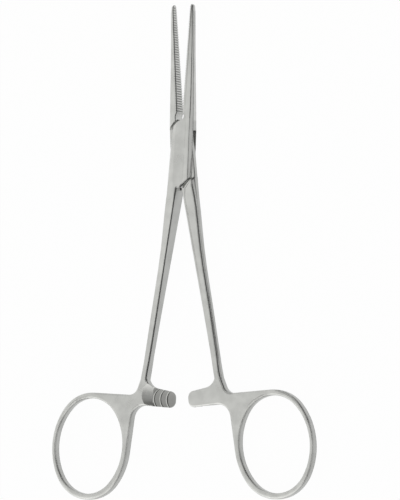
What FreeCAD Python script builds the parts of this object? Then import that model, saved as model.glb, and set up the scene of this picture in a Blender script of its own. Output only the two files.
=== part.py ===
import FreeCAD, Part
import math
import os

# Straight artery forceps with a box lock, shown a little open and lying on its back.
#
# The instrument is three pieces: the box half, which carries the slotted box, the inner half, whose thin
# tongue runs through the slot, and the pivot pin. Both halves are drawn closed and centred on the
# mid-plane of the instrument, with Y along it towards the jaw tips and the pivot axis on Z. In that pose
# both are cut from one ground envelope, and the jaw and handle of one half are those of the other turned
# half a turn about Y. At the end each half is turned about the pivot to the open pose and raised, so that
# the flat land on the back of the box lies on z = 0.

# Opening at rest, each half to its own side of the centre line, in degrees
HALF_OPENING = 3.8

# Lengths along the instrument from the pivot, jaws positive and shanks negative
JAW_LENGTH = 42.2
JAW_MID_Y = 26.0
HEEL_Y = 12.5
BOX_TOP_Y = 6.0
BOX_BOTTOM_Y = -7.5
NECK_Y = -16.0
BEND_Y = -28.0
LOWER_Y = -46.0
RATCHET_Y = -70.15

# Closed pair of jaws: half width, half height on the centre line and height of the outer ridge
TIP_HALF_WIDTH = 1.0
TIP_HALF_HEIGHT = 1.0
TIP_RIDGE_HEIGHT = 0.7
TIP_DOME_RADIUS = 0.97
MID_HALF_WIDTH = 2.02
MID_HALF_HEIGHT = 1.46
MID_RIDGE_HEIGHT = 1.08
HEEL_HALF_WIDTH = 3.0
HEEL_HALF_HEIGHT = 1.9
HEEL_RIDGE_HEIGHT = 1.6

# Box: half widths, half height, height of the ridge beside the flat land, and the half width of that land
BOX_TOP_HALF_WIDTH = 3.4
BOX_BOTTOM_HALF_WIDTH = 3.78
BOX_HALF_HEIGHT = 2.3
BOX_RIDGE_HEIGHT = 1.92
BOX_LAND = 1.6
BOX_BEVEL = 0.8
BOX_SIDE_HEIGHT = 0.95

# Shanks: outer half width, height at the inner face and height of the outer ridge, from neck to handle
NECK_HALF_WIDTH = 4.22
NECK_FACE_HEIGHT = 2.28
NECK_RIDGE_HEIGHT = 1.35
BEND_HALF_WIDTH = 4.86
BEND_FACE_HEIGHT = 1.95
BEND_RIDGE_HEIGHT = 1.22
LOWER_HALF_WIDTH = 6.75
LOWER_FACE_HEIGHT = 1.38
LOWER_RIDGE_HEIGHT = 1.03
END_HALF_WIDTH = 7.98
END_FACE_HEIGHT = 1.17
END_RIDGE_HEIGHT = 1.0
END_RISE = 12.1
FLARE_HALF_WIDTH = 8.5
FLARE_RISE = 7.2
SHANK_BEVEL = 0.28
SHANK_SIDE_HEIGHT = 0.62

# Inner faces of the shanks: half the gap between them at the crotch and beside the ratchet
CROTCH_Y = -10.3
CROTCH_HALF_GAP = 0.22
RATCHET_HALF_GAP = 7.4

# Gripping faces: gaps to the centre line at tip and heel, serrations, smooth band and its relief
BITE_GAP = 0.03
HEEL_GAP = 0.14
SERRATION_PITCH = 0.705
SERRATION_WIDTH = 0.38
SERRATION_DEPTH = 0.24
SERRATION_MARGIN = 0.55
SMOOTH_BAND_TOP = 11.3
RELIEF_GAP = 0.7
RELIEF_LENGTH = 1.1

# Edges of the plates of the box, as seen from the front with the instrument closed
UPPER_EDGE = [(0.6, 9.35), (-1.4, 8.3), (-3.0, 6.75), (-6.0, 4.1)]
LOWER_EDGE = [(0.95, -10.3), (2.1, -8.85), (3.7, -7.35), (6.0, -5.2)]

# Box lock: slot, its end walls, the tongue in it, the pivot pin and the running clearances
SLOT_HALF_HEIGHT = 0.87
UPPER_WALL = [(0.75, 9.0), (0.95, 8.65), (3.55, 6.0)]
LOWER_WALL = [(-0.5, -9.9), (-0.75, -9.3), (-3.55, -6.0)]
TONGUE_CLEARANCE = 0.07
WALL_CLEARANCE = 0.28
SHOULDER_CLEARANCE = 0.18
PIN_RADIUS = 1.35
PIN_CLEARANCE = 0.04

# Finger ring: place, lean towards the shank, opening and walls
RING_OUT = 17.0
RING_DROP = 14.65
RING_LEAN = 3.3
RING_HOLE_WIDTH = 21.9
RING_HOLE_LENGTH = 27.3
RING_HOLE_END_RADIUS = 9.6
RING_WALL_NEAR = 1.7
RING_WALL_FAR = 1.25
RING_WALL_END = 1.65
HANDLE_THICKNESS = 2.6
HANDLE_SOFT_EDGE = 0.52
HANDLE_ROOT_WIDTH = 1.25
HOLE_SOFT_EDGE = 0.56
NEAR_SIDE_LEAN = 5.0
WEB_TOP_LEAN = 3.0
WEB_FILLET = 3.0
RING_FILLET = 4.0

# Ratchet bar: size, rounding of its tip and root, and its teeth
BAR_HEIGHT = 4.1
BAR_REACH = 2.15
BAR_TIP_RADIUS = 1.8
BAR_TOP_SLOPE = 0.14
BAR_BOTTOM_SLOPE = 0.03
BAR_ROOT_FILLET = 3.8
TOOTH_COUNT = 3
TOOTH_PITCH = 2.08
TOOTH_DEPTH = 0.6
TOOTH_RIM_RADIUS = 3.2
TOOTH_RIM_WIDTH = 0.3
TOOTH_HOLLOW_RADIUS = 11.5
PAD_LENGTH = 2.85
PAD_DROP = 0.35
RATCHET_GAP = 0.1
SCOOP_RADIUS = 7.2
SCOOP_DEPTH = 0.4
SCOOP_TILT = 29.0
SCOOP_RISE = 0.8

# How finely the envelope follows its sections, and a reach that clears every piece
STEPS_PER_SPAN = 3
FAR = 60.0
Y_AXIS = FreeCAD.Vector(0, 1, 0)
Z_AXIS = FreeCAD.Vector(0, 0, 1)
ORIGIN = FreeCAD.Vector(0, 0, 0)


def flat(x, y):
    return FreeCAD.Vector(x, y, 0)


def inner_face_x(y):
    """Distance from the centre line to the inner face of a shank."""
    along = (y - CROTCH_Y) / (RATCHET_Y - CROTCH_Y)
    return CROTCH_HALF_GAP + along * (RATCHET_HALF_GAP - CROTCH_HALF_GAP)


def face_x(y):
    """Distance from the centre line to the gripping face of a jaw, nearest at the tip."""
    along = (JAW_LENGTH - y) / (JAW_LENGTH - SMOOTH_BAND_TOP)
    return BITE_GAP + along * (HEEL_GAP - BITE_GAP)


def soft_slopes(places, values):
    """Slopes for a curve through the values that never runs past them."""
    steps = [
        (values[i + 1] - values[i]) / (places[i + 1] - places[i])
        for i in range(len(places) - 1)
    ]
    inner = [2 * a * b / (a + b) if a * b > 0 else 0.0 for a, b in zip(steps, steps[1:])]
    return [steps[0]] + inner + [steps[-1]]


def on_curve(places, values, place):
    """Value at a place on the smooth curve through the given values."""
    slopes = soft_slopes(places, values)
    i = max(k for k in range(len(places) - 1) if places[k] <= place or k == 0)
    span = places[i + 1] - places[i]
    t = (place - places[i]) / span
    rise = values[i] * (1 + 2 * t) * (1 - t) ** 2 + values[i + 1] * t * t * (3 - 2 * t)
    bend = slopes[i] * t * (1 - t) ** 2 - slopes[i + 1] * t * t * (1 - t)
    return rise + bend * span


def shank_section(y, width, face_height, ridge_height):
    """Section numbers whose roof has the face height where the inner face cuts it."""
    land = inner_face_x(y) - 0.1
    return (y, land, width - SHANK_BEVEL, width, face_height, ridge_height, SHANK_SIDE_HEIGHT)


def box_section(y, width):
    return (y, BOX_LAND, width - BOX_BEVEL, width, BOX_HALF_HEIGHT, BOX_RIDGE_HEIGHT, BOX_SIDE_HEIGHT)


def jaw_section(y, width, height, ridge_height):
    return (y, 0.3 * width, 0.8 * width, width, height, ridge_height, 0.5 * ridge_height)


def shank_sections():
    """Driving sections of the closed shanks: place, land, ridge, side, and the heights of all three."""
    plate = HANDLE_THICKNESS / 2
    flare_y = RATCHET_Y + FLARE_RISE
    return [
        shank_section(RATCHET_Y, FLARE_HALF_WIDTH + 1.2, plate - 0.08, plate - 0.2),
        shank_section(flare_y, FLARE_HALF_WIDTH, plate + 0.02, plate - 0.05),
        shank_section(RATCHET_Y + END_RISE, END_HALF_WIDTH, END_FACE_HEIGHT, END_RIDGE_HEIGHT),
        shank_section(LOWER_Y, LOWER_HALF_WIDTH, LOWER_FACE_HEIGHT, LOWER_RIDGE_HEIGHT),
        shank_section(BEND_Y, BEND_HALF_WIDTH, BEND_FACE_HEIGHT, BEND_RIDGE_HEIGHT),
        shank_section(NECK_Y, NECK_HALF_WIDTH, NECK_FACE_HEIGHT, NECK_RIDGE_HEIGHT),
        box_section(BOX_BOTTOM_Y, BOX_BOTTOM_HALF_WIDTH),
    ]


def jaw_sections():
    """Driving sections of the closed jaws, in the same order."""
    return [
        box_section(BOX_TOP_Y, BOX_TOP_HALF_WIDTH),
        jaw_section(HEEL_Y, HEEL_HALF_WIDTH, HEEL_HALF_HEIGHT, HEEL_RIDGE_HEIGHT),
        jaw_section(JAW_MID_Y, MID_HALF_WIDTH, MID_HALF_HEIGHT, MID_RIDGE_HEIGHT),
        jaw_section(JAW_LENGTH, TIP_HALF_WIDTH, TIP_HALF_HEIGHT, TIP_RIDGE_HEIGHT),
    ]


def section_wire(y, land, ridge, side, land_height, ridge_height, side_height):
    """Twelve-sided section of the closed pair, square to Y."""
    quarter = [(land, land_height), (ridge, ridge_height), (side, side_height)]
    right = quarter + [(x, -z) for x, z in reversed(quarter)]
    around = right + [(-x, z) for x, z in reversed(right)]
    points = [FreeCAD.Vector(x, y, z) for x, z in around]
    return Part.makePolygon(points + points[:1])


def tip_dome():
    """Cone with a round nose that trims the tips of the closed jaws."""
    shoulder_y = JAW_LENGTH - TIP_DOME_RADIUS
    side = math.sqrt(0.5) * TIP_DOME_RADIUS
    nose = Part.Arc(flat(0, JAW_LENGTH), flat(side, shoulder_y + side), flat(TIP_DOME_RADIUS, shoulder_y))
    skirt = flat(FAR, shoulder_y - FAR * 6)
    edges = [
        nose.toShape(),
        Part.makeLine(flat(TIP_DOME_RADIUS, shoulder_y), skirt),
        Part.makeLine(skirt, flat(0, skirt.y)),
        Part.makeLine(flat(0, skirt.y), flat(0, JAW_LENGTH)),
    ]
    return Part.Face(Part.Wire(edges)).revolve(ORIGIN, Y_AXIS, 360)


def ground_bar(sections):
    """Solid through the driving sections, curved softly from one to the next."""
    columns = list(zip(*sections))
    places = columns[0]
    cuts = [
        places[i] + (places[i + 1] - places[i]) * step / STEPS_PER_SPAN
        for i in range(len(places) - 1)
        for step in range(STEPS_PER_SPAN)
    ]
    wires = [
        section_wire(y, *[on_curve(places, column, y) for column in columns[1:]])
        for y in cuts + [places[-1]]
    ]
    return Part.makeLoft(wires, True, True)


def envelope():
    """The ground outside of the closed pair, from the handles to the jaw tips."""
    shanks = shank_sections()
    jaws = jaw_sections()
    box = Part.makeLoft([section_wire(*shanks[-1]), section_wire(*jaws[0])], True, True)
    return ground_bar(shanks).fuse([box, ground_bar(jaws).common(tip_dome())])


def prism(points, low=-FAR, high=FAR):
    corners = [FreeCAD.Vector(x, y, low) for x, y in points]
    face = Part.Face(Part.makePolygon(corners + corners[:1]))
    return face.extrude(FreeCAD.Vector(0, 0, high - low))


def grip_line():
    """Inner outline of the right jaw from above its tip to the top of the box."""
    return [
        (BITE_GAP, JAW_LENGTH + 1),
        (face_x(JAW_LENGTH), JAW_LENGTH),
        (HEEL_GAP, SMOOTH_BAND_TOP),
        (0.6 * RELIEF_GAP, SMOOTH_BAND_TOP - 0.4 * RELIEF_LENGTH),
        (RELIEF_GAP, SMOOTH_BAND_TOP - RELIEF_LENGTH),
    ]


def shank_line():
    """Inner outline of the right shank, from inside the handle to the crotch."""
    return [(inner_face_x(RATCHET_Y), RATCHET_Y), (CROTCH_HALF_GAP, CROTCH_Y)]


def mirrored(points):
    return [(-x, y) for x, y in points]


def box_half_plan():
    """Front outline of the box half: right jaw, box plates and left shank."""
    below = RATCHET_Y - 1
    left = [(-FAR, UPPER_EDGE[-1][1]), (-FAR, below), (-inner_face_x(RATCHET_Y), below)]
    right = [(FAR, LOWER_EDGE[-1][1]), (FAR, JAW_LENGTH + 1)]
    return grip_line() + UPPER_EDGE + left + mirrored(shank_line()) + LOWER_EDGE + right


def inner_half_plan():
    """Front outline of the inner half, with a strip across the box that the plates take away."""
    below = RATCHET_Y - 1
    right = [(-RELIEF_GAP, 1), (FAR, 1), (FAR, below), (inner_face_x(RATCHET_Y), below)]
    left = [(CROTCH_HALF_GAP, -1), (-FAR, -1), (-FAR, JAW_LENGTH + 1)]
    return mirrored(grip_line()) + right + shank_line() + left


def plates_plan():
    """Front outline of the plates, grown by the clearance of the shoulders."""
    upper = [(x, y + SHOULDER_CLEARANCE) for x, y in UPPER_EDGE]
    lower = [(x, y - SHOULDER_CLEARANCE) for x, y in LOWER_EDGE]
    left = [(-FAR, upper[-1][1]), (-FAR, lower[0][1])]
    right = [(FAR, lower[-1][1]), (FAR, upper[0][1])]
    return upper + left + lower + right


def slot():
    """The slot between the plates: open to both sides, with a slanted wall at each end."""
    upper = [(-FAR, UPPER_WALL[0][1] + 1), (UPPER_WALL[0][0], UPPER_WALL[0][1] + 1)] + UPPER_WALL
    lower = [(FAR, LOWER_WALL[0][1] - 1), (LOWER_WALL[0][0], LOWER_WALL[0][1] - 1)] + LOWER_WALL
    outline = upper + [(FAR, UPPER_WALL[-1][1])] + lower + [(-FAR, LOWER_WALL[-1][1])]
    return prism(outline, -SLOT_HALF_HEIGHT, SLOT_HALF_HEIGHT)


def tongue_plan():
    """Outline of the tongue, which keeps its clearance from both slanted walls."""
    upper = [(x, y - WALL_CLEARANCE) for x, y in UPPER_WALL]
    lower = [(x, y + WALL_CLEARANCE) for x, y in LOWER_WALL]
    jaw_y = SMOOTH_BAND_TOP - RELIEF_LENGTH
    shank_y = CROTCH_Y - 1.5
    jaw_end = [(-FAR, jaw_y), (-RELIEF_GAP, jaw_y), (-RELIEF_GAP, UPPER_WALL[0][1] + 0.3)]
    shank_end = [(FAR, shank_y), (inner_face_x(shank_y) + 0.05, shank_y), (CROTCH_HALF_GAP, CROTCH_Y)]
    return jaw_end + upper + [(FAR, upper[-1][1])] + shank_end + lower + [(-FAR, lower[-1][1])]


def serrations(shift):
    """Row of V-grooves across the right gripping face, moved along it by the shift."""
    mouth = 0.05
    half = SERRATION_WIDTH / 2 * (SERRATION_DEPTH + mouth) / SERRATION_DEPTH
    first = JAW_LENGTH - SERRATION_MARGIN - shift
    count = int((first - SMOOTH_BAND_TOP - half) / SERRATION_PITCH) + 1
    zigzag = []
    for i in range(count):
        y = first - i * SERRATION_PITCH
        zigzag.append((face_x(y + half) - mouth, y + half))
        zigzag.append((face_x(y) + SERRATION_DEPTH, y))
        zigzag.append((face_x(y - half) - mouth, y - half))
    spine = [(-1.0, zigzag[-1][1]), (-1.0, zigzag[0][1])]
    return prism(zigzag + spine)


def unit(vector):
    return vector * (1 / vector.Length)


def arc_between(centre, radius, start, end):
    """Arc edge about a centre from one angle to another, in degrees."""
    angles = [math.radians(a) for a in (start, (start + end) / 2, end)]
    points = [centre + flat(radius * math.cos(a), radius * math.sin(a)) for a in angles]
    return Part.Arc(*points).toShape()


def corner_arc(before, corner, after, radius):
    """Arc that rounds a corner between two straight lines, as start, middle and end."""
    u = unit(before - corner)
    v = unit(after - corner)
    half = u.getAngle(v) / 2
    centre = corner + unit(u + v) * (radius / math.sin(half))
    start = corner + u * (radius / math.tan(half))
    end = corner + v * (radius / math.tan(half))
    return start, centre + unit(corner - centre) * radius, end


def oval(half_width, half_length, end_radius):
    """Radius of the side arcs of an oval, and the angle at which they meet the end arcs."""
    rise = half_length - end_radius
    side_radius = (half_width ** 2 + rise ** 2 - end_radius ** 2) / (2 * (half_width - end_radius))
    meeting = math.degrees(math.atan2(rise, side_radius - half_width))
    return side_radius, meeting


def leaning(centre, x, y):
    """A point given in the leaning frame of the finger ring."""
    a = math.radians(RING_LEAN)
    return centre + flat(x * math.cos(a) - y * math.sin(a), x * math.sin(a) + y * math.cos(a))


def ring_centre():
    return flat(RATCHET_HALF_GAP + RING_OUT, RATCHET_Y - RING_DROP)


def ring_hole():
    """Opening of the finger ring, four arcs that run into each other."""
    half_width = RING_HOLE_WIDTH / 2
    half_length = RING_HOLE_LENGTH / 2
    side_radius, meeting = oval(half_width, half_length, RING_HOLE_END_RADIUS)
    side = side_radius - half_width
    end = half_length - RING_HOLE_END_RADIUS
    centre = ring_centre()
    top = meeting + RING_LEAN
    spread = 180 - 2 * meeting
    edges = [
        arc_between(leaning(centre, -side, 0), side_radius, RING_LEAN - meeting, top),
        arc_between(leaning(centre, 0, end), RING_HOLE_END_RADIUS, top, top + spread),
        arc_between(leaning(centre, side, 0), side_radius, top + spread, top + 180),
        arc_between(leaning(centre, 0, -end), RING_HOLE_END_RADIUS, top + 180, top + 180 + spread),
    ]
    return Part.Wire(edges)


def handle_outline():
    """Outline of the right handle: finger ring, web, ratchet bar and the end of the shank."""
    half_width = (RING_HOLE_WIDTH + RING_WALL_NEAR + RING_WALL_FAR) / 2
    half_length = RING_HOLE_LENGTH / 2 + RING_WALL_END
    end_radius = RING_HOLE_END_RADIUS + RING_WALL_END
    side_radius, meeting = oval(half_width, half_length, end_radius)
    centre = leaning(ring_centre(), (RING_WALL_FAR - RING_WALL_NEAR) / 2, 0)
    far_centre = leaning(centre, half_width - side_radius, 0)
    near_centre = leaning(centre, side_radius - half_width, 0)
    top_centre = leaning(centre, 0, half_length - end_radius)
    bottom_centre = leaning(centre, 0, end_radius - half_length)
    top_y = top_centre.y + end_radius
    turn = RING_LEAN

    lean = math.radians(NEAR_SIDE_LEAN)
    near_end = near_centre + flat(-side_radius * math.cos(lean), -side_radius * math.sin(lean))
    bottom_y = RATCHET_Y - BAR_HEIGHT / 2
    armpit = flat(near_end.x - math.tan(lean) * (bottom_y - near_end.y), bottom_y)
    tip_bottom = flat(-BAR_REACH, bottom_y - BAR_BOTTOM_SLOPE * (armpit.x + BAR_REACH))
    tip_top = flat(-BAR_REACH, RATCHET_Y + BAR_HEIGHT / 2)
    root_x = inner_face_x(tip_top.y)
    root = flat(root_x, tip_top.y + BAR_TOP_SLOPE * (root_x + BAR_REACH))
    shank_y = RATCHET_Y + FLARE_RISE
    inner_top = flat(inner_face_x(shank_y) + 0.25, shank_y)
    outer_top = inner_top + flat(HANDLE_ROOT_WIDTH, 0)
    web_corner = flat(outer_top.x + (shank_y - top_y) / WEB_TOP_LEAN, top_y)

    web = corner_arc(outer_top, web_corner, flat(FAR, top_y), WEB_FILLET)
    below = corner_arc(near_end, armpit, tip_bottom, RING_FILLET)
    lower_tip = corner_arc(armpit, tip_bottom, tip_top, BAR_TIP_RADIUS)
    upper_tip = corner_arc(tip_bottom, tip_top, root, BAR_TIP_RADIUS)
    above = corner_arc(tip_top, root, inner_top, BAR_ROOT_FILLET)
    edges = [
        Part.makeLine(web[2], flat(top_centre.x, top_y)),
        arc_between(top_centre, end_radius, 90, turn + meeting),
        arc_between(far_centre, side_radius, turn + meeting, turn - meeting),
        arc_between(bottom_centre, end_radius, turn - meeting, turn + meeting - 180),
        arc_between(near_centre, side_radius, turn + meeting - 180, NEAR_SIDE_LEAN - 180),
        Part.makeLine(near_end, below[0]),
        Part.Arc(*below).toShape(),
        Part.makeLine(below[2], lower_tip[0]),
        Part.Arc(*lower_tip).toShape(),
        Part.makeLine(lower_tip[2], upper_tip[0]),
        Part.Arc(*upper_tip).toShape(),
        Part.makeLine(upper_tip[2], above[0]),
        Part.Arc(*above).toShape(),
        Part.makeLine(above[2], inner_top),
        Part.makeLine(inner_top, outer_top),
        Part.makeLine(outer_top, web[0]),
        Part.Arc(*web).toShape(),
    ]
    return Part.Wire(edges)


def rims(solid):
    """Edges of a plate that lie on its front or back face."""
    height = HANDLE_THICKNESS / 2
    flush = [e for e in solid.Edges if abs(abs(e.CenterOfMass.z) - height) < 1e-6]
    return [e for e in flush if e.CenterOfMass.y < RATCHET_Y + FLARE_RISE - 1e-6]


def hole_rims(solid):
    """Edges round the finger hole on the front and back face of a plate."""
    height = HANDLE_THICKNESS / 2
    faces = [f for f in solid.Faces if abs(abs(f.CenterOfMass.z) - height) < 1e-6]
    return [e for f in faces for w in f.Wires if not w.isSame(f.OuterWire) for e in w.Edges]


def upright(wire):
    """Plate of handle thickness with the given outline."""
    face = Part.Face(wire)
    face.translate(Z_AXIS * (-HANDLE_THICKNESS / 2))
    return face.extrude(Z_AXIS * HANDLE_THICKNESS)


def handle_plate():
    """Right handle with soft edges, before its ratchet is cut."""
    plate = upright(handle_outline())
    plate = plate.makeFillet(HANDLE_SOFT_EDGE, rims(plate))
    plate = plate.cut(upright(ring_hole()))
    return plate.makeFillet(HOLE_SOFT_EDGE, hole_rims(plate))


def up_to_rim(x):
    """All of the ratchet bar on the tip's side of a rim that is an arc in the front view."""
    low = FreeCAD.Vector(x - TOOTH_RIM_RADIUS, RATCHET_Y, -4)
    disc = Part.makeCylinder(TOOTH_RIM_RADIUS, 8, low, Z_AXIS)
    corner = FreeCAD.Vector(-3 * BAR_REACH, RATCHET_Y - TOOTH_RIM_RADIUS, -4)
    return disc.fuse(Part.makeBox(low.x - corner.x, 2 * TOOTH_RIM_RADIUS, 8, corner))


def hollow_slope(start_x, start_z, end_x, end_z):
    """Space behind a sloping run of the bar that is a little hollow from edge to edge."""
    half = TOOTH_RIM_RADIUS
    sag = TOOTH_HOLLOW_RADIUS - math.sqrt(TOOTH_HOLLOW_RADIUS ** 2 - half ** 2)
    left = FreeCAD.Vector(start_x, RATCHET_Y - half, start_z)
    right = FreeCAD.Vector(start_x, RATCHET_Y + half, start_z)
    hollow = Part.Arc(left, FreeCAD.Vector(start_x, RATCHET_Y, start_z + sag), right).toShape()
    below = [FreeCAD.Vector(start_x, right.y, -4), FreeCAD.Vector(start_x, left.y, -4)]
    sides = Part.makePolygon([right] + below + [left])
    face = Part.Face(Part.Wire([hollow] + sides.Edges))
    return face.extrude(FreeCAD.Vector(end_x - start_x, 0, end_z - start_z))


def scoop(rim_x):
    """Tilted round hollow that runs out of the plate and ends at the steep face of the last tooth."""
    reach = 3 * SCOOP_RADIUS
    tilt = math.radians(SCOOP_TILT)
    axis = FreeCAD.Vector(math.cos(tilt), 0, -math.sin(tilt))
    floor = FreeCAD.Vector(rim_x, RATCHET_Y + SCOOP_RISE, SCOOP_DEPTH)
    centre = floor - FreeCAD.Vector(math.sin(tilt), 0, math.cos(tilt)) * SCOOP_RADIUS
    wheel = Part.makeCylinder(SCOOP_RADIUS, 2 * reach, centre - axis * reach, axis)
    corner = FreeCAD.Vector(rim_x - 1.5, RATCHET_Y - reach, 1 - reach)
    return wheel.common(Part.makeBox(reach, 2 * reach, reach, corner))


def ratchet_space():
    """All that is cut away from the back of the right ratchet bar."""
    crest_z = RATCHET_GAP / 2
    rims = [PAD_LENGTH - BAR_REACH + i * TOOTH_PITCH for i in range(TOOTH_COUNT)]
    whole = up_to_rim(rims[-1])
    behind = Part.makeBox(4 * FAR, 4 * FAR, 8, FreeCAD.Vector(-2 * FAR, -2 * FAR, crest_z - 8))
    spaces = [whole.common(behind), scoop(rims[-1]).cut(whole)]
    drops = [PAD_DROP] + [TOOTH_DEPTH] * (TOOTH_COUNT - 1)
    runs = [PAD_LENGTH] + [TOOTH_PITCH] * (TOOTH_COUNT - 1)
    for i in range(TOOTH_COUNT):
        start = rims[i] - TOOTH_RIM_WIDTH
        end = rims[i] - 1.6 * runs[i]
        slope = drops[i] / (runs[i] - TOOTH_RIM_WIDTH)
        space = hollow_slope(start, crest_z, end, crest_z + slope * (start - end))
        space = space.common(up_to_rim(start))
        spaces.append(space if i == 0 else space.cut(up_to_rim(rims[i - 1])))
    return spaces


def turned(shape):
    """The shape turned half a turn about the long axis, from one half of the instrument to the other."""
    other = shape.copy()
    other.rotate(ORIGIN, Y_AXIS, 180)
    return other


def box_half():
    """Right jaw, slotted box, left shank and left handle."""
    blank = envelope().common(prism(box_half_plan()))
    blank = blank.cut([slot(), serrations(0), Part.makeCylinder(PIN_RADIUS, FAR, Z_AXIS * (-FAR / 2), Z_AXIS)])
    blank = blank.fuse(turned(handle_plate()))
    return blank.cut([turned(space) for space in ratchet_space()])


def inner_half():
    """Left jaw, thin tongue, right shank and right handle."""
    tongue_height = SLOT_HALF_HEIGHT - TONGUE_CLEARANCE
    bore = Part.makeCylinder(PIN_RADIUS + PIN_CLEARANCE, FAR, Z_AXIS * (-FAR / 2), Z_AXIS)
    outside = envelope()
    blank = outside.common(prism(inner_half_plan())).cut(prism(plates_plan()))
    tongue = outside.common(prism(tongue_plan(), -tongue_height, tongue_height)).cut(bore)
    blank = blank.fuse([tongue, handle_plate()])
    return blank.cut([turned(serrations(SERRATION_PITCH / 2))] + ratchet_space())


def pivot_pin():
    """Pin ground flush with both flat lands of the box."""
    return Part.makeCylinder(PIN_RADIUS, 2 * BOX_HALF_HEIGHT, Z_AXIS * (-BOX_HALF_HEIGHT), Z_AXIS)


def placed(shape, opening):
    """The closed piece opened by an angle and laid on its back."""
    shape.rotate(ORIGIN, Z_AXIS, opening)
    shape.translate(Z_AXIS * BOX_HALF_HEIGHT)
    return shape


os.makedirs("parts", exist_ok=True)
placed(box_half(), -HALF_OPENING).exportStep("parts/box_half.step")
placed(inner_half(), HALF_OPENING).exportStep("parts/inner_half.step")
placed(pivot_pin(), -HALF_OPENING).exportStep("parts/pivot_pin.step")
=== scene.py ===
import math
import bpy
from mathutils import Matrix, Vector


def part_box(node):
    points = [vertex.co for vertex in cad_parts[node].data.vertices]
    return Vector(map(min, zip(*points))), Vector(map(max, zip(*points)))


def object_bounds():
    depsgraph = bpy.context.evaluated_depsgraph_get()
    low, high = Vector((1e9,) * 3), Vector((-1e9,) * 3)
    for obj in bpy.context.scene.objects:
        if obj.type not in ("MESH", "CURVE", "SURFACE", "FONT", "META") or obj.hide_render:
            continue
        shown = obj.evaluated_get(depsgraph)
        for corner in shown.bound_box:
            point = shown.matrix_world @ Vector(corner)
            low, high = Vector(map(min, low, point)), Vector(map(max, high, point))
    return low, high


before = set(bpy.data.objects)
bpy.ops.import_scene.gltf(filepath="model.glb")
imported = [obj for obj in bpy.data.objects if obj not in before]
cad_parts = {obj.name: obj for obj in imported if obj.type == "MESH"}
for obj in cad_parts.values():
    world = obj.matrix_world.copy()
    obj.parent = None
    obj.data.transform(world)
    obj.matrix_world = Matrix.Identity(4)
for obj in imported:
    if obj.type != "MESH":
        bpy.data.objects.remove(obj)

# %% [markdown]
# # A pair of straight artery forceps
#
# The instrument is three forged and ground pieces of stainless steel: the half with the slotted box, the
# half whose tongue runs through that slot, and the pin they turn on. Their shapes come from the CAD model,
# so what is left for Blender is their surface, the light and the camera. A satin metal shows little colour
# of its own. What we see on it is the room, so the room is built as carefully as the finish.

box_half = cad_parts["box_half"]
inner_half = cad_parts["inner_half"]
pivot_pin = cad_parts["pivot_pin"]
cad_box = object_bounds()
length = cad_box[1].y - cad_box[0].y
print("pieces:", sorted(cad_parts), "length in mm:", round(length * 1000, 1))

# %% [markdown]
# ## A few tools for building materials
#
# A shader is a tree of small nodes, each of which does one sum. Such a tree could be drawn by hand in the
# editor, but then the next reader can't see in what order to read it. Here every node is added by a helper
# with a plain name, and the helpers are put together into the finish further down. The nodes are laid out
# in rows as they are made, so that the tree can still be followed in the editor.

# %% Helpers that start a material, add a node and read the parts of a direction
NODES_PER_ROW = 8
COLUMN_WIDTH, ROW_HEIGHT = 220, 320


def empty_material(name):
    material = bpy.data.materials.new(name)
    material.use_nodes = True
    material.node_tree.nodes.clear()
    return material, material.node_tree


def add_node(tree, kind, **settings):
    row, column = divmod(len(tree.nodes), NODES_PER_ROW)
    node = tree.nodes.new(kind)
    node.location = (column * COLUMN_WIDTH, -row * ROW_HEIGHT)
    for name, value in settings.items():
        setattr(node, name, value)
    return node


def split(tree, vector):
    parts = add_node(tree, "ShaderNodeSeparateXYZ")
    tree.links.new(vector, parts.inputs["Vector"])
    return parts.outputs["X"], parts.outputs["Y"], parts.outputs["Z"]


print("nodes are laid out in rows of", NODES_PER_ROW)


# %% Helpers for the sums: a smooth step, a product, what is left of one, and a scaled colour
def smooth_step(tree, value, span, low=0.0, high=1.0):
    step = add_node(tree, "ShaderNodeMapRange", interpolation_type="SMOOTHSTEP")
    step.inputs["From Min"].default_value = span[0]
    step.inputs["From Max"].default_value = span[1]
    step.inputs["To Min"].default_value = low
    step.inputs["To Max"].default_value = high
    tree.links.new(value, step.inputs["Value"])
    return step.outputs["Result"]


def arithmetic(tree, operation, first, second=0.0):
    node = add_node(tree, "ShaderNodeMath", operation=operation)
    for socket, value in zip(node.inputs, (first, second)):
        if isinstance(value, float):
            socket.default_value = value
        else:
            tree.links.new(value, socket)
    return node.outputs["Value"]


def product(tree, first, *others):
    for other in others:
        first = arithmetic(tree, "MULTIPLY", first, other)
    return first


def kept_after(tree, loss):
    return arithmetic(tree, "SUBTRACT", 1.0, loss)


def scaled(tree, colour, amount):
    node = add_node(tree, "ShaderNodeVectorMath", operation="SCALE")
    tree.links.new(colour, node.inputs[0])
    tree.links.new(amount, node.inputs["Scale"])
    return node.outputs["Vector"]


print("a smooth step, a product, a remainder and a scaled colour are ready")


# %% What every part of the finish reads: where a spot is on its piece, and which way it faces
def read_spot(tree):
    texture_place = add_node(tree, "ShaderNodeTexCoord")
    geometry = add_node(tree, "ShaderNodeNewGeometry")
    across, along, height = split(tree, texture_place.outputs["Object"])
    sideways, _, upwards = split(tree, texture_place.outputs["Normal"])
    return {
        "place": texture_place.outputs["Object"],
        "across": across,
        "along": along,
        "height": height,
        "sideways": arithmetic(tree, "ABSOLUTE", sideways),
        "upright": arithmetic(tree, "ABSOLUTE", upwards),
        "true_normal": geometry.outputs["Normal"],
    }


print("place and facing are read on the piece, the true normal in the directions of the room")
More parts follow.
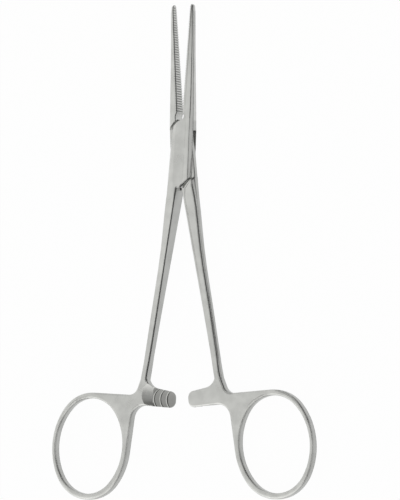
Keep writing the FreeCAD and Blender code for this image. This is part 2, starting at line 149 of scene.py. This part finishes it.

# %% [markdown]
# ## Ground faces, and tumbled sides with painted shade
#
# On the real forceps the front and back are ground bright on the belt, and the sides between them are only
# tumbled with abrasive stones. Their darker grey here is partly that duller finish and partly painted shade,
# and the gripping faces come out in between.
# It could be one flat colour, but then the shanks would look cast in one go. So the colour follows how far
# a surface is turned away from the front, which is the height of its normal.

# %% Two greys, mixed by which way the steel faces; the darker one is partly painted shade
GROUND_BRIGHT = (0.74, 0.745, 0.725)
TUMBLED_AND_PAINTED_SHADE_GREY = (0.45, 0.455, 0.44)
TUMBLED_TO_GROUND = (0.25, 0.9)
JAWS_START = 0.0088
FACING_THE_OTHER_JAW = (0.9, 0.97)
GRIPPING_SHINE = 0.4


# Painted shade, in part: the sides turned away from the front get the darker grey.
def ground_and_tumbled_with_painted_shade(tree, spot):
    belt = smooth_step(tree, spot["upright"], TUMBLED_TO_GROUND)
    on_jaw = arithmetic(tree, "GREATER_THAN", spot["along"], JAWS_START)
    facing = smooth_step(tree, spot["sideways"], FACING_THE_OTHER_JAW, high=GRIPPING_SHINE)
    brightness = arithmetic(tree, "MAXIMUM", belt, product(tree, on_jaw, facing))
    finish = add_node(tree, "ShaderNodeMix", data_type="RGBA")
    finish.inputs["A"].default_value = list(TUMBLED_AND_PAINTED_SHADE_GREY) + [1]
    finish.inputs["B"].default_value = list(GROUND_BRIGHT) + [1]
    tree.links.new(brightness, finish.inputs["Factor"])
    return finish.outputs["Result"]


print("ground:", GROUND_BRIGHT, "tumbled:", TUMBLED_AND_PAINTED_SHADE_GREY)

# %% [markdown]
# ## Painted shade in the grooves
#
# The grooves of the serrations, the slot of the box and the steps between the ratchet teeth get painted
# shade, as they hold less light. They could be painted one by one. An ambient occlusion node with a very
# short reach finds them all by itself, because it measures how much open space there is above each spot.

# %% Painted shade in the grooves, from the open space above the surface
GROOVE_TO_OPEN = (0.3, 0.7)
GROOVE_SHADE_TONE = 0.32


# Painted shade: the colour is darkened where there is little open space above it.
def painted_groove_shade(tree, reach):
    open_space = add_node(tree, "ShaderNodeAmbientOcclusion", samples=6)
    open_space.inputs["Distance"].default_value = reach
    return smooth_step(tree, open_space.outputs["AO"], GROOVE_TO_OPEN, low=GROOVE_SHADE_TONE)


print("grooves keep", GROOVE_SHADE_TONE, "of the colour")

# %% [markdown]
# ## Painted reflection along the edges
#
# A dark band is painted along the long right-hand edges: a painted reflection of the dark part of the room
# in their rounding.
# It could be cut into the mesh as a chamfer with a colour of its own, but that would change the shape that
# the CAD model has settled. A Bevel node finds the band without touching the mesh: it gives the normal of
# a rounded edge, which differs from the true one only close to an edge. The band is widest on the shanks,
# and the high ridge on the box keeps little of it. This normal is given in the directions of the room, so
# on a half that is swung wide open the band lies a little differently than at rest.

# %% How much of the painted edge reflection a ridge on top of the box keeps
BOX_REACH = (0.009, 0.0096)
HIGH_RIDGE = (0.72, 0.86)
RIDGE_REFLECTION_LOSS = 0.7


# Painted reflection: the high ridge of the box keeps less of the dark band.
def ridge_reflection_kept(tree, spot, rounded_upwards):
    from_pivot = arithmetic(tree, "ABSOLUTE", spot["along"])
    on_box = smooth_step(tree, from_pivot, BOX_REACH, 1.0, 0.0)
    high = smooth_step(tree, rounded_upwards, HIGH_RIDGE)
    return kept_after(tree, product(tree, on_box, high, RIDGE_REFLECTION_LOSS))


print("a ridge on the box keeps", round(1 - RIDGE_REFLECTION_LOSS, 1), "of the dull band")

# %% The painted edge reflection itself, on edges that lean to the right and to the front
SHANKS_TO_BOX = (-0.006, 0.0)
SHANK_BAND = 2.1
NEAR_AN_EDGE = (0.9992, 0.983)
LEANING_RIGHT = (0.0, 0.12)
LEANING_FRONT = (0.1, 0.28)


# Painted reflection: a dark band on edges that lean to the right and to the front.
def painted_edge_reflection(tree, spot, band):
    rounded = add_node(tree, "ShaderNodeBevel", samples=10)
    width = smooth_step(tree, spot["along"], SHANKS_TO_BOX, SHANK_BAND * band, band)
    tree.links.new(width, rounded.inputs["Radius"])
    turn = add_node(tree, "ShaderNodeVectorMath", operation="DOT_PRODUCT")
    tree.links.new(rounded.outputs["Normal"], turn.inputs[0])
    tree.links.new(spot["true_normal"], turn.inputs[1])
    near_edge = smooth_step(tree, turn.outputs["Value"], NEAR_AN_EDGE)
    rightwards, _, upwards = split(tree, rounded.outputs["Normal"])
    to_right = smooth_step(tree, rightwards, LEANING_RIGHT)
    to_front = smooth_step(tree, upwards, LEANING_FRONT)
    return product(tree, near_edge, to_right, to_front, ridge_reflection_kept(tree, spot, upwards))


widest_turns = [round(math.degrees(math.acos(cosine)), 1) for cosine in NEAR_AN_EDGE]
print("the band starts and ends at these turns of the normal, in degrees:", widest_turns)

# %% [markdown]
# ## Painted shade on the ratchet pads
#
# The three pads of the ratchet lie sunk below the crests of its teeth, and they get painted shade. They
# could have a material of their own, but they belong to the same forging, so the finish asks where it is:
# low on the instrument, close to its middle, and below the outer faces.

# %% Where the ratchet is, and how much painted shade its pads get
MIDDLE_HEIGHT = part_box("pivot_pin")[1].z / 2
RATCHET_BELOW = -0.063
RATCHET_HALF_WIDTH = 0.0095
CREST_DEPTH, FACE_DEPTH = 0.00012, 0.0011
PAD_FACING = (0.6, 0.8)
PAD_SHADE_LOSS = 0.48


def ratchet_zone(tree, spot):
    low = arithmetic(tree, "LESS_THAN", spot["along"], RATCHET_BELOW)
    from_middle = arithmetic(tree, "ABSOLUTE", spot["across"])
    inside = arithmetic(tree, "LESS_THAN", from_middle, RATCHET_HALF_WIDTH)
    return product(tree, low, inside)


# Painted shade on the sunk pads between the crests, where they face the front or the back.
def painted_pad_shade(tree, spot, zone):
    depth = arithmetic(tree, "ABSOLUTE", arithmetic(tree, "SUBTRACT", spot["height"], MIDDLE_HEIGHT))
    below_face = arithmetic(tree, "LESS_THAN", depth, FACE_DEPTH)
    below_crest = arithmetic(tree, "GREATER_THAN", depth, CREST_DEPTH)
    facing = smooth_step(tree, spot["upright"], PAD_FACING)
    return kept_after(tree, product(tree, below_face, below_crest, facing, zone, PAD_SHADE_LOSS))


print("middle of the steel, mm above the table:", round(MIDDLE_HEIGHT * 1000, 2))

# %% [markdown]
# ## Where there is no painted edge reflection
#
# Four places have none. The seam of the riveted pin is ground together with the box, so the eye shouldn't
# find it. The shoulder of the box and the scoop behind the left ratchet run out softly. And the steel of
# the ratchet is too thin for a Bevel node, which would reach its far side. The finger rings are rounded all
# over on the wheel and keep only a trace. The bands could be wiped off by hand with a painted mask, but the
# first three places are small and round, so a circle around one point each is enough. The ratchet already
# has a zone of its own.

# %% Circles to keep clear, and the painted edge reflection outside them
PIN_SEAM = ((0, 0), 0.0019)
BOX_SHOULDER = ((-0.0039, 0.0066), 0.0032)
SCOOP = ((-0.0101, -0.069), 0.0042)
RINGS_TO_SHANKS = (-0.075, -0.069)
RING_REFLECTION_KEPT = 0.15


def away_from(tree, spot, circle):
    centre, radius = circle
    moved = add_node(tree, "ShaderNodeVectorMath", operation="SUBTRACT")
    moved.inputs[1].default_value = (centre[0], centre[1], 0)
    tree.links.new(spot["place"], moved.inputs[0])
    flattened = add_node(tree, "ShaderNodeVectorMath", operation="MULTIPLY")
    flattened.inputs[1].default_value = (1, 1, 0)
    tree.links.new(moved.outputs["Vector"], flattened.inputs[0])
    distance = add_node(tree, "ShaderNodeVectorMath", operation="LENGTH")
    tree.links.new(flattened.outputs["Vector"], distance.inputs[0])
    return arithmetic(tree, "GREATER_THAN", distance.outputs["Value"], radius)


# The painted dark edge reflection, outside the circles and the ratchet, and faint on the rings.
def painted_reflection_band(tree, spot, band, off_seam, off_ratchet):
    off_shoulder = away_from(tree, spot, BOX_SHOULDER)
    off_scoop = away_from(tree, spot, SCOOP)
    kept = smooth_step(tree, spot["along"], RINGS_TO_SHANKS, low=RING_REFLECTION_KEPT)
    line = painted_edge_reflection(tree, spot, band)
    return product(tree, line, off_seam, off_ratchet, off_shoulder, off_scoop, kept)


print("kept clear, mm across:", [round(2000 * circle[1], 1) for circle in (PIN_SEAM, BOX_SHOULDER, SCOOP)])

# %% [markdown]
# ## Grain and rounding
#
# The brushed grain is too small to see line by line. It could be painted as an image, but a noise texture
# has no seams and holds at any distance. Two noises are used: a fine one that tilts the surface a little,
# and a broad one that lets colour and roughness drift by a few percent, as they do where the wheel stayed
# a moment longer. A second Bevel node rounds every edge in the light, so that none of them is knife sharp.
# Its radius is larger on the finger rings, which are round to the touch.

# %% A fine and a broad noise
FINE_DETAIL = 4
BROAD_PER_METRE, BROAD_DETAIL = 260, 6


def noise(tree, spot, per_metre, detail):
    texture = add_node(tree, "ShaderNodeTexNoise", noise_dimensions="3D")
    texture.inputs["Scale"].default_value = per_metre
    texture.inputs["Detail"].default_value = detail
    tree.links.new(spot["place"], texture.inputs["Vector"])
    return texture.outputs["Fac"]


print("one wave of the broad noise, in mm:", round(1000 / BROAD_PER_METRE, 1))

# %% The rounded edges, and the grain on top of them
GRAIN_STRENGTH = 0.3
GRAIN_HEIGHT = 0.00002


def rounded_normal(tree, spot, ring_radius, edge_radius, off_seam, off_ratchet):
    rounded = add_node(tree, "ShaderNodeBevel", samples=12)
    radius = smooth_step(tree, spot["along"], RINGS_TO_SHANKS, ring_radius, edge_radius)
    tree.links.new(radius, rounded.inputs["Radius"])
    normal = add_node(tree, "ShaderNodeMix", data_type="VECTOR")
    tree.links.new(product(tree, off_ratchet, off_seam), normal.inputs["Factor"])
    tree.links.new(spot["true_normal"], normal.inputs["A"])
    tree.links.new(rounded.outputs["Normal"], normal.inputs["B"])
    return normal.outputs["Result"]


def grained(tree, normal, fine_noise):
    grain = add_node(tree, "ShaderNodeBump")
    grain.inputs["Strength"].default_value = GRAIN_STRENGTH
    grain.inputs["Distance"].default_value = GRAIN_HEIGHT
    tree.links.new(fine_noise, grain.inputs["Height"])
    tree.links.new(normal, grain.inputs["Normal"])
    return grain.outputs["Normal"]


print("grain height in thousandths of a mm:", round(GRAIN_HEIGHT * 1000000))

# %% [markdown]
# ## The whole finish
#
# Now the helpers are put together. The colour starts from the two greys, the darker of them partly painted
# shade. The broad noise, the painted shade of the grooves and of the ratchet pads each take a share of it,
# and the painted dark reflection along the edges is laid over it last. All of it ends in one Principled
# shader.
# Metal takes its look from its base colour, its roughness and its normal, so nothing else is linked. The
# three pieces share the recipe, and the pin only has a finer grain and finer edges.

# %% Colour and roughness of satin steel
SHADE_SPAN, DARKEST_SHADE, LIGHTEST_SHADE = (0.3, 0.7), 0.9, 1.04
# How dark the painted edge reflection is, as a share of the side grey.
REFLECTION_BAND_SHARE = 0.15
ROUGHNESS, ROUGHNESS_DRIFT, ROUGHNESS_SPAN = 0.3, 0.04, (0.2, 0.8)


def steel_colour(tree, spot, broad_noise, groove_reach, zone):
    colour = ground_and_tumbled_with_painted_shade(tree, spot)
    shade = smooth_step(tree, broad_noise, SHADE_SPAN, DARKEST_SHADE, LIGHTEST_SHADE)
    colour = scaled(tree, colour, shade)
    colour = scaled(tree, colour, painted_groove_shade(tree, groove_reach))
    return scaled(tree, colour, painted_pad_shade(tree, spot, zone))


# Lays the painted dark edge reflection over the colour.
def with_painted_reflection(tree, colour, line):
    finish = add_node(tree, "ShaderNodeMix", data_type="RGBA")
    finish.inputs["B"].default_value = [REFLECTION_BAND_SHARE * tone for tone in TUMBLED_AND_PAINTED_SHADE_GREY] + [1]
    tree.links.new(line, finish.inputs["Factor"])
    tree.links.new(colour, finish.inputs["A"])
    return finish.outputs["Result"]


def steel_roughness(tree, broad_noise):
    low, high = ROUGHNESS - ROUGHNESS_DRIFT, ROUGHNESS + ROUGHNESS_DRIFT
    return smooth_step(tree, broad_noise, ROUGHNESS_SPAN, low, high)


print("roughness:", ROUGHNESS, "give or take", ROUGHNESS_DRIFT)


# %% Satin steel, from all the helpers
def satin_steel(name, grain_per_mm, edge_radius, ring_radius, band, groove_reach):
    material, tree = empty_material(name)
    spot = read_spot(tree)
    fine_noise = noise(tree, spot, grain_per_mm * 1000, FINE_DETAIL)
    broad_noise = noise(tree, spot, BROAD_PER_METRE, BROAD_DETAIL)
    zone = ratchet_zone(tree, spot)
    off_ratchet = kept_after(tree, zone)
    off_seam = away_from(tree, spot, PIN_SEAM)
    colour = steel_colour(tree, spot, broad_noise, groove_reach, zone)
    colour = with_painted_reflection(tree, colour, painted_reflection_band(tree, spot, band, off_seam, off_ratchet))
    normal = rounded_normal(tree, spot, ring_radius, edge_radius, off_seam, off_ratchet)

    steel = add_node(tree, "ShaderNodeBsdfPrincipled")
    steel.inputs["Metallic"].default_value = 1.0
    tree.links.new(colour, steel.inputs["Base Color"])
    tree.links.new(steel_roughness(tree, broad_noise), steel.inputs["Roughness"])
    tree.links.new(grained(tree, normal, fine_noise), steel.inputs["Normal"])
    output = add_node(tree, "ShaderNodeOutputMaterial")
    tree.links.new(steel.outputs["BSDF"], output.inputs["Surface"])
    print(name, "nodes:", len(tree.nodes))
    return material


# %% Steel for the two halves, and the same with finer edges for the pin
steel = satin_steel(
    "satin steel", grain_per_mm=5, edge_radius=0.0002, ring_radius=0.0013, band=0.00042, groove_reach=0.0005)
pin_steel = satin_steel(
    "ground pin steel", grain_per_mm=7, edge_radius=0.0001, ring_radius=0.0001, band=0.0001,
    groove_reach=0.0001)
for piece, material in ((box_half, steel), (inner_half, steel), (pivot_pin, pin_steel)):
    for slot in piece.material_slots:
        slot.material = material
    print(piece.name, "is made of", material.name)

# %% [markdown]
# ## The table
#
# The instrument lies on a plain white table. White paper would come out a little grey next to bright metal,
# so for the camera and for reflections the table is mostly its own even white, with a little real paper
# mixed in that still takes the shadow of the forceps.

# %% A white table that keeps a soft shadow
PAPER_WHITE = (0.95, 0.95, 0.95, 1)
OWN_LIGHT = 0.97


def table_material(name):
    material, tree = empty_material(name)
    paper = add_node(tree, "ShaderNodeBsdfDiffuse")
    paper.inputs["Color"].default_value = PAPER_WHITE
    white = add_node(tree, "ShaderNodeEmission")
    white.inputs["Strength"].default_value = 1.0
    rays = add_node(tree, "ShaderNodeLightPath").outputs
    seen = arithmetic(tree, "MAXIMUM", rays["Is Camera Ray"], rays["Is Glossy Ray"])
    seen = arithmetic(tree, "MAXIMUM", seen, rays["Is Transmission Ray"])
    mixed = add_node(tree, "ShaderNodeMixShader")
    tree.links.new(product(tree, seen, OWN_LIGHT), mixed.inputs["Fac"])
    tree.links.new(paper.outputs["BSDF"], mixed.inputs[1])
    tree.links.new(white.outputs["Emission"], mixed.inputs[2])
    output = add_node(tree, "ShaderNodeOutputMaterial")
    tree.links.new(mixed.outputs["Shader"], output.inputs["Surface"])
    return material


table_paint = table_material("white table")
print(table_paint.name, "gives", OWN_LIGHT, "of its own light to the camera and to reflections")

# %% The table top, a hair below the instrument so that their faces never coincide
TABLE_SIZE = 6.0
TABLE_DROP = 0.0001


def table(size, material):
    mesh = bpy.data.meshes.new("table")
    half = size / 2
    corners = [(-half, -half, 0), (half, -half, 0), (half, half, 0), (-half, half, 0)]
    mesh.from_pydata(corners, [], [(0, 1, 2, 3)])
    mesh.materials.append(material)
    top = bpy.data.objects.new("table", mesh)
    bpy.context.scene.collection.objects.link(top)
    return top


table_top = table(TABLE_SIZE, table_paint)
table_top.location.z = -TABLE_DROP
print("table, metres across:", table_top.dimensions.x)

# %% [markdown]
# ## The room
#
# The front faces of the forceps look at the ceiling, and their sides look along the table. A plain grey
# room would give all of them one tone and the shape would be lost. An image of a real studio would do, but
# a few tones that depend only on the direction are easier to steer. So the world is a soft studio: a light
# ceiling with a dark gap towards the right, which draws the dark side of the long slopes. The far right
# corner is dark as well, and the wall behind the finger rings is lighter than the rest.

# %% The tones from the far left of the room to the far right
CEILING_TONES = [
    (0.0, 0.72), (0.07, 0.82), (0.18, 0.69), (0.3, 0.69), (0.45, 0.78), (0.64, 0.8), (0.78, 0.15),
    (0.82, 0.08), (0.9, 0.1), (0.955, 0.68), (1.0, 0.9),
]
WARMTH = 0.985


def ceiling_ramp(tree, sideways):
    sweep = add_node(tree, "ShaderNodeMapRange")
    sweep.inputs["From Min"].default_value = -1
    sweep.inputs["From Max"].default_value = 1
    tree.links.new(sideways, sweep.inputs["Value"])
    ceiling = add_node(tree, "ShaderNodeValToRGB")
    stops = ceiling.color_ramp.elements
    for place, tone in CEILING_TONES:
        stops.new(place).color = (tone, tone, tone * WARMTH, 1)
    stops.remove(stops[0])
    stops.remove(stops[-1])
    tree.links.new(sweep.outputs["Result"], ceiling.inputs["Fac"])
    return ceiling.outputs["Color"]


print("tones:", len(CEILING_TONES), "darkest:", min(tone for _, tone in CEILING_TONES))

# %% The world: those tones, a dark far corner and a lighter near wall
FAR_AWAY, FAR_RIGHT = (0.15, 0.6), (-0.1, 0.35)
CORNER_TONE = 0.15
NEAR_WALL, NEAR_TONE = (-0.1, -0.6), 1.4


def studio_world(name):
    world = bpy.data.worlds.new(name)
    world.use_nodes = True
    tree = world.node_tree
    tree.nodes.clear()
    direction = add_node(tree, "ShaderNodeTexCoord")
    sideways, lengthways, _ = split(tree, direction.outputs["Generated"])
    away = smooth_step(tree, lengthways, FAR_AWAY)
    rightwards = smooth_step(tree, sideways, FAR_RIGHT)
    corner_kept = kept_after(tree, product(tree, away, rightwards, 1.0 - CORNER_TONE))
    near = smooth_step(tree, lengthways, NEAR_WALL, 1.0, NEAR_TONE)
    tone = scaled(tree, ceiling_ramp(tree, sideways), product(tree, corner_kept, near))
    room = add_node(tree, "ShaderNodeBackground")
    room.inputs["Strength"].default_value = 1.0
    tree.links.new(tone, room.inputs["Color"])
    output = add_node(tree, "ShaderNodeOutputWorld")
    tree.links.new(room.outputs["Background"], output.inputs["Surface"])
    return world


bpy.context.scene.world = studio_world("soft studio")
bpy.context.scene.view_settings.view_transform = "Standard"
print("world:", bpy.context.scene.world.name)

# %% [markdown]
# ## A soft lamp
#
# The world alone would leave the table without any shadow at all. A sun lamp would draw a hard one. One
# wide, weak lamp in front of the finger rings, on the left, gives the forceps a faint soft shadow, so they
# rest on the table and don't float over it.

# %% One wide lamp
def soft_lamp(name, place, aim, width, watts):
    lamp = bpy.data.lights.new(name, "AREA")
    lamp.shape = "SQUARE"
    lamp.size = width
    lamp.energy = watts
    lamp_object = bpy.data.objects.new(name, lamp)
    lamp_object.location = place
    lamp_object.rotation_euler = (Vector(aim) - Vector(place)).to_track_quat("-Z", "Y").to_euler()
    bpy.context.scene.collection.objects.link(lamp_object)
    return lamp_object


key_lamp = soft_lamp("soft lamp", place=(-0.9, -1.3, 1.0), aim=(0, -0.03, 0), width=0.8, watts=0.8)
print("lamp at", tuple(round(v, 2) for v in key_lamp.location))

# %% [markdown]
# ## The camera
#
# The picture was taken from far away with a long lens, so the two rings are almost the same size. The
# camera looks down on the forceps from 29 degrees to their right and about 4 degrees towards the rings,
# and it is held almost level. Its place could be found by moving it about until the picture fits. Here it
# is worked out from those angles, the distance, and the scale and place of the pivot in the picture, so
# that one number can be changed at a time. It needs no shift: aiming it at the middle of the picture gives
# the same frame.

# %% Camera from its angles, its distance and the scale at the pivot
SENSOR_MM = 36
NEAREST, FARTHEST = 0.01, 20


def photo_camera(turn, tip, roll, distance, mm_per_pixel, pivot_pixel, frame_size):
    turn, tip, roll = (math.radians(angle) for angle in (turn, tip, roll))
    back = Vector((math.sin(turn) * math.cos(tip), -math.sin(tip), math.cos(turn) * math.cos(tip)))
    level_right = Vector((math.cos(turn), 0, -math.sin(turn)))
    right = Matrix.Rotation(roll, 3, back) @ level_right
    up = back.cross(right)
    across = (frame_size[0] / 2 - pivot_pixel[0]) * mm_per_pixel / 1000
    down = (frame_size[1] / 2 - pivot_pixel[1]) * mm_per_pixel / 1000
    aim = Vector((0, 0, MIDDLE_HEIGHT)) + right * across - up * down
    camera = bpy.data.cameras.new("camera")
    camera.sensor_width = SENSOR_MM
    camera.lens = SENSOR_MM * distance * 1000 / (mm_per_pixel * max(frame_size))
    camera.clip_start, camera.clip_end = NEAREST, FARTHEST
    camera_object = bpy.data.objects.new("camera", camera)
    turned = Matrix((right, up, back)).transposed().to_4x4()
    camera_object.matrix_world = Matrix.Translation(aim + back * distance) @ turned
    bpy.context.scene.collection.objects.link(camera_object)
    return camera_object


photo_view = photo_camera(
    turn=29.0, tip=4.2, roll=0.15, distance=1.08, mm_per_pixel=0.2834, pivot_pixel=(182.95, 152.0),
    frame_size=(400, 500))
bpy.context.scene.camera = photo_view
print("lens in mm:", round(photo_view.data.lens, 1))
